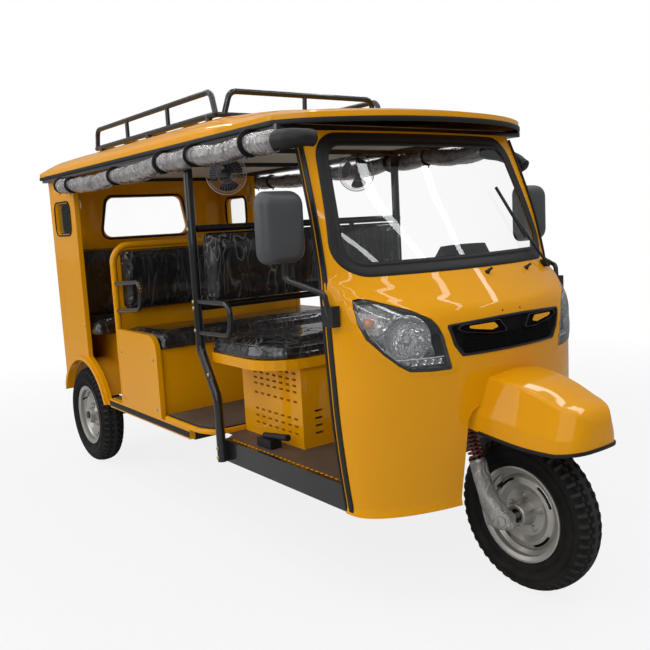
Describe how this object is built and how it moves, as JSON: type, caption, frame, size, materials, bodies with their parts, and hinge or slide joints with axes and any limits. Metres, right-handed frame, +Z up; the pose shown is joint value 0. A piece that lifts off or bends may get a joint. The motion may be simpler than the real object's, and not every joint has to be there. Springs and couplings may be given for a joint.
{
  "type": "electric passenger tricycle",
  "caption": "Three-row passenger tricycle with a rounded cowl, raked windscreen, fixed roof with luggage rack, open sides, steered front wheel and driven rear axle",
  "frame": {"origin": "on the ground, under the middle of the vehicle's length and width", "axes": "+Y towards the rear, +X towards the vehicle's left, +Z up"},
  "size_m": [1.485, 3.3, 1.8707],
  "materials": {
    "body_paint": "gloss amber-yellow paint",
    "black_paint": "gloss black enamel",
    "axle_paint": "satin black enamel",
    "floor_mat": "ribbed brown floor mat",
    "glass": "clear safety glass",
    "rubber": "black seal rubber",
    "lamp_lens": "clear lens over a bright bowl",
    "black_plastic": "grained black plastic",
    "battery_case": "dark grey case",
    "seat_vinyl": "black vinyl under clear film",
    "red_lens": "red lens",
    "curtain_film": "clear film rolled up",
    "motor_case": "cast case",
    "wheel_steel": "silver wheel paint",
    "tyre_rubber": "black tyre rubber",
    "fork_alloy": "cast slider",
    "lining": "beige lining board",
    "spring_paint": "dark red spring enamel",
    "fan_wire": "pale wire enamel",
    "fan_plastic": "dark blue blades"
  },
  "bodies": {
    "body": {"chassis_frame": "black_paint", "floor_panel": "floor_mat", "front_sills": "black_paint", "rear_sills": "body_paint", "front_cowl": "body_paint", "windscreen": "glass", "window_seals": "rubber", "headlamps": "lamp_lens", "grille": "black_plastic", "front_mudguard": "body_paint", "dashboard": "black_plastic", "wiper": "black_plastic", "roof_frame": "black_paint", "roof_shell": "body_paint", "roof_lining": "lining", "roof_rack": "black_paint", "b_pillars": "black_paint", "driver_seat_box": "body_paint", "battery_pack": "battery_case", "driver_seat_pan": "body_paint", "driver_cushion": "seat_vinyl", "driver_back_frame": "black_paint", "driver_back_pad": "seat_vinyl", "mid_seat_box": "body_paint", "mid_cushion": "seat_vinyl", "mid_back_frame": "body_paint", "mid_back_pad": "seat_vinyl", "rear_seat_box": "body_paint", "rear_cushion": "seat_vinyl", "rear_back_pad": "seat_vinyl", "side_panels": "body_paint", "back_panel": "body_paint", "rear_glass": "glass", "wheel_housings": "body_paint", "tail_lamps": "red_lens", "plate_board": "black_plastic", "mirror_arms": "black_paint", "mirror_heads": "black_plastic", "cabin_fans": "fan_wire", "curtain_rolls": "curtain_film", "parking_brake": "black_plastic", "rear_axle": "axle_paint", "leaf_springs": "black_paint", "motor": "motor_case"},
    "fork": {"fork_legs": "fork_alloy", "fork_springs": "spring_paint", "fork_crown": "black_paint", "front_axle": "wheel_steel", "handlebar": "black_paint"},
    "fan_right": {"fan_blades_right": "fan_plastic"},
    "fan_left": {"fan_blades_left": "fan_plastic"},
    "rear_wheel_right": {"rear_rim_right": "wheel_steel", "rear_tyre_right": "tyre_rubber"},
    "rear_wheel_left": {"rear_rim_left": "wheel_steel", "rear_tyre_left": "tyre_rubber"},
    "front_wheel": {"front_rim": "wheel_steel", "front_tyre": "tyre_rubber"}
  },
  "joints": [
    {"name": "steer", "type": "hinge", "parent": "body", "child": "fork", "pos_m": [0, -1.3, 0.272], "axis": [0, 0.342, 0.9397], "range_deg": [-38, 38]},
    {"name": "front_wheel_spin", "type": "hinge", "parent": "fork", "child": "front_wheel", "pos_m": [0, -1.36, 0.272], "axis": [1, 0, 0], "continuous": true},
    {"name": "rear_right_wheel_spin", "type": "hinge", "parent": "body", "child": "rear_wheel_right", "pos_m": [-0.53, 1.315, 0.272], "axis": [1, 0, 0], "continuous": true},
    {"name": "rear_left_wheel_spin", "type": "hinge", "parent": "body", "child": "rear_wheel_left", "pos_m": [0.53, 1.315, 0.272], "axis": [1, 0, 0], "continuous": true},
    {"name": "fan_right_spin", "type": "hinge", "parent": "body", "child": "fan_right", "pos_m": [-0.362, -0.07, 1.528], "axis": [0.5, 0.866, 0], "continuous": true},
    {"name": "fan_left_spin", "type": "hinge", "parent": "body", "child": "fan_left", "pos_m": [0.362, -0.07, 1.528], "axis": [0.5, 0.866, 0], "continuous": true}
  ]
}
